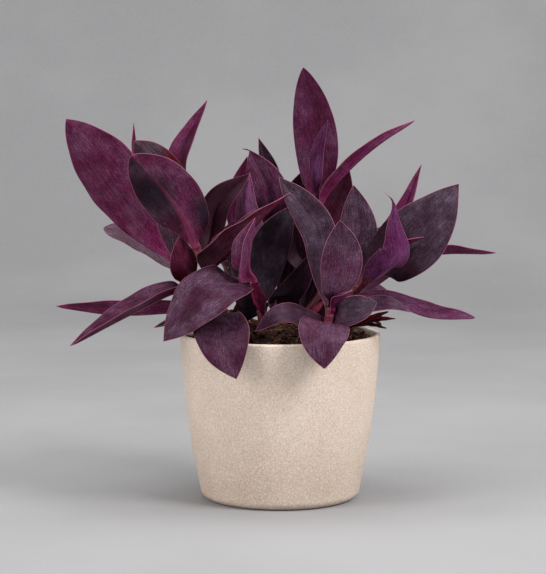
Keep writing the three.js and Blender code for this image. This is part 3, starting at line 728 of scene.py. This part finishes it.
# what leaf_material reads at each vertex; across, along and rim are distances in mm
LEAF_NUMBERS = ("tint", "across", "along", "rim", "upper", "seed", "keel", "band", "dust")
CUP = 0.5  # how much steeper the fold is by the midrib, and flatter by the margin
LONG_WAVE = 61.0  # the two ruffles of the margins
SHORT_WAVE = 27.0
RIB_SPACING = 3.1
MARGIN_THICKNESS = 0.26
GROOVE_DEPTH = 0.14


def make_leaf(name, stem, row, number):
    """The leaf's clasping base, neck and blade: a closed thin strip in place of the CAD solid."""
    row = {**row, **LOOKS.get(name.removeprefix("blade_"), {})}
    rng = np.random.default_rng(100 + number)
    on_stem, up = stem.at(row["at"]), stem.tangent(row["at"])
    blade = [np.array(p, float) for p in row["blade"]]
    face = np.array(row["face"], float)
    outward = growing_side(on_stem, up, blade[0], face)
    base = on_stem + outward * (STEM_RADIUS + SHEATH_GAP)
    midrib = Path([base, base + up * SHEATH_LENGTH, *blade])
    length = midrib.length
    neck = min(NECK_LENGTH / length, NECK_SHARE)
    rows = np.concatenate([np.linspace(0, neck, 9)[:-1], lerp(neck, 1, np.linspace(0, 1, 36)[:-1]), [0.992]])
    clasp = (1 - smoothstep(rows / neck))[:, None]
    along = midrib.tangent(rows)
    facing = -outward * clasp + face * (1 - clasp)
    normal = facing - along * (facing * along).sum(1, keepdims=True)
    normal /= np.linalg.norm(normal, axis=1, keepdims=True)
    side = np.cross(along, normal)
    middle = midrib.at(rows)

    full = row["width"] / 2
    half = lerp(full * blade_share(rows, row["widest"], row["taper"])[:, None],
                (STEM_RADIUS + SHEATH_GAP) * CLASP_ANGLE, clasp)
    s = (COLUMNS[1:] + COLUMNS[:-1])[None] / 2
    fold = math.radians(row["fold"]) * (1 + CUP * (0.5 - s) * 2)
    slope = lerp(fold, CLASP_ANGLE * s, clasp)
    step = half * np.diff(COLUMNS)
    across = np.cumsum(step * np.cos(slope), axis=1)
    rise = np.cumsum(step * np.sin(slope), axis=1)
    reach = COLUMNS[None, 1:]
    mm = rows[:, None] * length
    swell = np.minimum(half / 12, 1) * (1 - clasp)
    wave = row.get("wave", 0.7)

    # from one margin to the other: across the blade, up towards its face, how far out, and the slope
    def section(sign):
        phase = rng.uniform(0, 2 * math.pi)
        ruffle = wave * swell * reach ** 3 * np.sin(mm * 2 * math.pi / SHORT_WAVE + phase)
        ruffle += 0.35 * wave * swell * reach ** 2 * np.sin(mm * 2 * math.pi / LONG_WAVE + 2 * phase)
        return sign * across, rise + ruffle, reach * half, slope

    (la, lr, lo, ls), (ra, rr, ro, rs) = section(-1), section(1)
    zero = np.zeros((len(rows), 1))
    x = np.hstack([la[:, ::-1], zero, ra])
    z = np.hstack([lr[:, ::-1], zero, rr])
    out = np.hstack([-lo[:, ::-1], zero, ro])
    slant = np.hstack([-ls[:, ::-1], zero, rs])
    reached = np.abs(np.hstack([-reach[:, ::-1], np.zeros((1, 1)), reach])) * np.ones_like(x)
    rim = half * (1 - reached)
    thick = lerp(MARGIN_THICKNESS, LEAF_THICKNESS, np.clip(1 - reached, 0, 1) ** 0.8)
    thick = thick * np.minimum(half / 2.5, 1) ** 0.5
    groove = GROOVE_DEPTH * np.exp(-(out / 0.9) ** 2) * np.minimum(half / 4, 1) * (1 - clasp)
    ribs = 0.10 * np.cos(out * 2 * math.pi / RIB_SPACING) * (1 - reached) * swell

    def at(x, z):
        return middle[:, None] + side[:, None] * x[..., None] + normal[:, None] * z[..., None]

    depth = thick + groove * 0.9
    upper = at(x, z - groove + ribs)
    lower = at(x + depth * np.sin(slant), z - depth * np.cos(slant) + ribs)
    tip = midrib.at(1.0)

    upper_colour, under_colour, pink = (linear(c) for c in LEAF_COLOURS[row["colour"]])
    tip_colour = linear(LEAF_COLOURS[row.get("tip", row["colour"])][0])
    pinkness = (1 - smoothstep(mm / row.get("blush", 22.0))) * 0.85
    aging = smoothstep((rows[:, None] - 0.5) / 0.35) * (0.8 if "tip" in row else 0)
    # Painted light and shade: halves and shade make a leaf, its base or tip, or one half of a folded blade
    # lighter or darker as the light falls on it, darkest deep inside the plant; shade also dims the pink
    # base.
    left, right = row.get("halves", (1.0, 1.0))
    at_base, at_tip = row["shade"] if isinstance(row.get("shade"), tuple) else [row.get("shade", 1.0)] * 2
    shade = lerp(at_base, at_tip, smoothstep(rows))[:, None]
    sides = np.where(out < 0, left, right) * shade * rng.uniform(0.95, 1.05)

    patches = []
    for share, side_share, radius, patch in row.get("patches", []):
        away = np.hypot((rows[:, None] - share) * length, out - side_share * full)
        patches.append((smoothstep(1.4 * (1 - away / radius)), linear(patch)))
    # Bloom and painted sheen, weaker where a patch lies.
    dust = row.get("dust", 1.0) * np.prod([np.ones_like(out)] + [1 - 0.75 * w for w, _ in patches], axis=0)

    def tinted(colour):
        shaded = lerp(colour, tip_colour, aging[..., None]) * sides[..., None]
        shaded = lerp(shaded, pink * np.minimum(shade, 1.0)[..., None], pinkness[..., None])
        for weight, patch in patches:
            shaded = lerp(shaded, patch, weight[..., None])
        return shaded

    build = Build(*LEAF_NUMBERS)
    count = x.size

    def both(a):
        """One number a vertex: the upper side, the lower side, then the tip."""
        flat = np.broadcast_to(a, x.shape).reshape(-1)
        return np.concatenate([flat, flat, flat[-1:]])

    tints = [tinted(upper_colour).reshape(-1, 3), tinted(under_colour).reshape(-1, 3), [tip_colour]]
    keel = row.get("keel", 0.0) * (1 - 0.8 * smoothstep(rows[:, None]))
    band = row.get("band", 0.6) * (1 - rows[:, None]) ** 2
    verts = np.vstack([upper.reshape(-1, 3), lower.reshape(-1, 3), tip[None]])
    build.add(verts, strip_faces(*x.shape), tint=np.vstack(tints),
              across=both(out), along=both(mm), rim=both(rim),
              upper=np.concatenate([np.ones(count), np.zeros(count), [0.5]]), seed=number * 3.7,
              keel=both(keel), band=both(band), dust=both(dust))
    build.make(name, LEAF, [name.replace("blade", "leaf")])


# where it starts, bends and ends, how wide it is, which way it faces, how far it curls, its colour; for the
# darkest strips that colour is painted shade
WITHERED = [
    ([(-18, -14, 128), (-24, -16, 141), (-29, -16, 156), (-35, -14, 172)],
     18, (0, -1, 0.2), 0.6, (30, 14, 26)),
    ([(-32, 2, 126), (-29, 2, 134), (-22, 3, 144)], 6, (0, -1, 0.1), 0.8, (60, 10, 22)),
    ([(-18, -43, 155), (-14, -38, 143), (-10, -33, 127)], 11, (-0.2, -1, 0.1), 1.2, (112, 24, 62)),
    ([(4, 14, 124), (2, 15, 144), (7, 16, 168)], 13, (0, -1, 0.1), 0.5, (20, 5, 12)),
    ([(14, 12, 124), (15, 13, 144), (16, 14, 166)], 12, (0.2, -1, 0.1), 0.6, (40, 4, 14)),
    ([(-13, 22, 122), (-10, 22, 132), (3, 24, 136)], 5, (0, -0.8, 0.6), 0.8, (26, 12, 22)),
    ([(24, 6, 124), (27, 8, 138), (29, 8, 152)], 10, (0.1, -1, 0.1), 0.8, (46, 6, 18)),
    ([(17, -22, 127), (24, -23, 134), (32, -24, 142)], 6, (0, -1, 0.2), 1.3, (122, 44, 58)),
    ([(27, -4, 124), (30, -6, 136), (33, -6, 150)], 10, (0, -1, 0.1), 0.8, (44, 8, 20)),
    ([(46, -14, 124), (50, -12, 138), (52, -10, 152)], 9, (0, -1, 0.1), 0.7, (40, 8, 20)),
    ([(44, -32, 124), (60, -31, 129), (74, -31, 134)], 6, (0, -0.9, 0.5), 1.0, (112, 30, 34)),
    ([(44, -30, 123), (62, -29, 128), (79, -30, 129)], 7, (0, -0.8, 0.6), 1.2, (96, 20, 34)),
    ([(46, -24, 123), (62, -26, 124), (73, -27, 122)], 7, (0.1, -0.7, 0.7), 1.6, (50, 14, 16)),
    ([(50, -18, 124), (60, -22, 128), (70, -22, 124)], 6, (0.1, -0.7, 0.7), 1.5, (74, 22, 22)),
    ([(-40, -30, 123), (-28, -38, 124), (-14, -40, 122)], 7, (0, -0.6, 0.8), 1.3, (38, 16, 16)),
    ([(10, -46, 122), (24, -48, 124), (40, -47, 122)], 6, (0, -0.6, 0.8), 1.4, (44, 16, 18)),
    ([(30, 34, 123), (44, 40, 126), (56, 44, 122)], 9, (0, 0.6, 0.8), 1.4, (70, 26, 24)),
    ([(-26, 36, 122), (-40, 44, 125), (-50, 42, 121)], 8, (0, 0.6, 0.8), 1.4, (84, 30, 28)),
    ([(-50, 0, 123), (-56, -6, 132), (-52, -10, 144)], 8, (-0.8, -0.5, 0.2), 1.0, (64, 14, 26)),
    ([(-21, 4, 242.4), (-23.5, 4, 243.4), (-26.5, 4, 243.6)], 0.9, (0, -1, 0), 0.2, (70, 20, 36)),
]


def make_withered(rng):
    """Dried lower leaves and old sheaths, curled strips that stand around the stems; the darkest strips carry
    painted shade and fill the shaded heart of the plant.
    """
    build = Build(*LEAF_NUMBERS)
    rows, columns = 26, 9
    t = np.linspace(0, 0.985, rows)
    reach = np.linspace(-1, 1, columns)[None]
    for k, (points, width, face, curl, colour) in enumerate(WITHERED):
        path = Path(points, 12)
        length = path.length
        middle, along = path.at(t), path.tangent(t)
        normal = np.array([square_to(np.array(face, float), a) for a in along])
        side = np.cross(along, normal)
        half = width / 2 * np.minimum(0.6 + 0.4 * smoothstep(t / 0.35), 1.25 * (1 - t) ** 0.6)[:, None]
        half = half * (1 + 0.1 * np.sin(t[:, None] * rng.uniform(9, 16) + k))
        bend = curl * (1 + 0.5 * np.sin(t[:, None] * rng.uniform(3, 7) + 2 * k))
        x = half * np.sin(bend * reach) / bend
        z = half * (1 - np.cos(bend * reach)) / bend
        z = z + min(width, 6) * 0.05 * np.sin(t[:, None] * length * 0.9 + 5 * reach + k)

        def at(x, z):
            return middle[:, None] + side[:, None] * x[..., None] + normal[:, None] * z[..., None]

        thick = min(0.35, width * 0.15)
        verts = np.vstack([at(x, z).reshape(-1, 3), at(x, z - thick).reshape(-1, 3), path.at(1.0)[None]])
        out = half * reach

        def both(a):
            return np.concatenate([np.broadcast_to(a, x.shape).ravel()] * 2 + [[0.0]])

        tint = linear(colour) * (0.8 + 0.5 * both(t[:, None] + 0 * reach)[:, None])
        build.add(verts, strip_faces(rows, columns), tint=tint, across=both(out),
                  along=both(t[:, None] * length), rim=both(half * (1 - abs(reach)) + 0.3), upper=1.0,
                  seed=k * 5.1, keel=0.0, band=0.0, dust=0.3)
    build.make("withered_leaves", LEAF)


# ---- stems ------------------------------------------------------------------------------------
def make_stem(name, stem, leaves):
    """The stem with its swollen nodes and ring scars, and a thin sheath below each leaf."""
    build = Build("tint", "around", "along")
    rows = 120
    t = np.linspace(0, 1, rows)
    mm = t * stem.length
    radii = np.full(rows, STEM_RADIUS - 0.25)
    for row in leaves:
        radii += 0.35 * np.exp(-((mm - row["at"] * stem.length + 1.5) / 1.8) ** 2)
        radii -= 0.22 * np.exp(-((mm - row["at"] * stem.length + 3.4) / 0.5) ** 2)
    radii = np.clip(radii, 1.8, STEM_RADIUS + 0.1)
    # Painted shade: the stem's colour darkened by how deep inside the plant it stands, 0.35 unless LOOKS
    # gives another.
    lit = LOOKS.get(name, {}).get("shade", 0.35)
    low, high = linear((96, 40, 44)) * lit, linear((106, 36, 62)) * lit
    tube(stem, radii, 20, build, around=lambda a, s: a, along=lambda a, s: s * stem.length,
         tint=lambda a, s: lerp(low, high, smoothstep(s)[:, None]))
    for row in leaves:
        start = row["at"] - 3.0 / stem.length
        end = min(row["at"] + 4.5 / stem.length, 1.0)
        part = Path(stem.at(np.linspace(start, end, 6)), 4)
        radii = STEM_RADIUS + np.concatenate([[0.0], np.linspace(0.2, 0.42, 9)])
        tube(part, radii, 20, build, around=lambda a, s: a, along=lambda a, s: s * 8.0 + row["at"] * 40,
             tint=lambda a, s: lerp(linear((150, 66, 76)), linear((104, 34, 66)), s[:, None]) * lit)
    build.make(name, STEM, [name.replace("shoot", "stem")])


# ---- build ------------------------------------------------------------------------------------
make_pot()
make_soil()
rng = np.random.default_rng(11)
make_bark(rng)
make_fibres(rng)
make_withered(rng)
number = 0
for shoot, (route, leaves) in SHOOTS.items():
    root = (route[0][0], route[0][1], route[0][2] - ROOT_DEPTH)
    stem = Path([root, *route])
    make_stem("shoot_" + shoot, stem, leaves)
    for i, row in enumerate(leaves):
        number += 1
        make_leaf(f"blade_{shoot}_{i + 1}", stem, row, number)


# ---- floor, light and camera ------------------------------------------------------------------
def make_floor():
    """A pale floor that sweeps up behind the plant."""
    bend_start, bend = 1.1, 0.9
    profile = [(-3.0, 0.0), (bend_start, 0.0)]
    for a in np.linspace(0, math.pi / 2, 24)[1:]:
        profile.append((bend_start + bend * math.sin(a), bend - bend * math.cos(a)))
    profile.append((bend_start + bend, 5.0))
    verts = [(x, y, z) for y, z in profile for x in (-5.0, 5.0)]
    mesh = bpy.data.meshes.new("floor")
    mesh.from_pydata(verts, [], [(2 * i, 2 * i + 1, 2 * i + 3, 2 * i + 2) for i in range(len(profile) - 1)])
    mesh.polygons.foreach_set("use_smooth", [True] * len(mesh.polygons))
    mesh.materials.append(floor_material())
    floor = bpy.data.objects.new("floor", mesh)
    bpy.context.scene.collection.objects.link(floor)


def area_light(name, place, target, size, power):
    data = bpy.data.lights.new(name, "AREA")
    data.shape = "RECTANGLE"
    data.size = data.size_y = size
    data.energy = power
    light = bpy.data.objects.new(name, data)
    light.location = place
    light.rotation_euler = (Vector(target) - Vector(place)).to_track_quat("-Z", "Y").to_euler()
    bpy.context.scene.collection.objects.link(light)


make_floor()
area_light("key", (1.4, -0.95, 1.5), (0, 0, 0.15), 0.9, 46)
area_light("fill", (-1.6, -1.1, 0.9), (0, 0, 0.15), 1.3, 26)
area_light("top", (-0.1, 0.2, 1.9), (0, 0, 0.1), 1.2, 24)
world = bpy.data.worlds.new("world")
world.use_nodes = True
world.node_tree.nodes["Background"].inputs[0].default_value = (0.95, 0.97, 1.0, 1)
world.node_tree.nodes["Background"].inputs[1].default_value = 0.3
bpy.context.scene.world = world

CAMERA_PLACE = (-0.0049, -1.438, 0.292)
CAMERA_LOOKS_DOWN = 5.73  # degrees
camera_data = bpy.data.cameras.new("camera")
camera_data.lens = 130.0
camera_data.sensor_width = 36.0
camera_data.clip_end = 20.0
camera = bpy.data.objects.new("camera", camera_data)
camera.location = CAMERA_PLACE
camera.rotation_euler = (math.radians(90 - CAMERA_LOOKS_DOWN), 0, 0)
bpy.context.scene.collection.objects.link(camera)
bpy.context.scene.camera = camera
bpy.context.scene.view_settings.view_transform = "Standard"
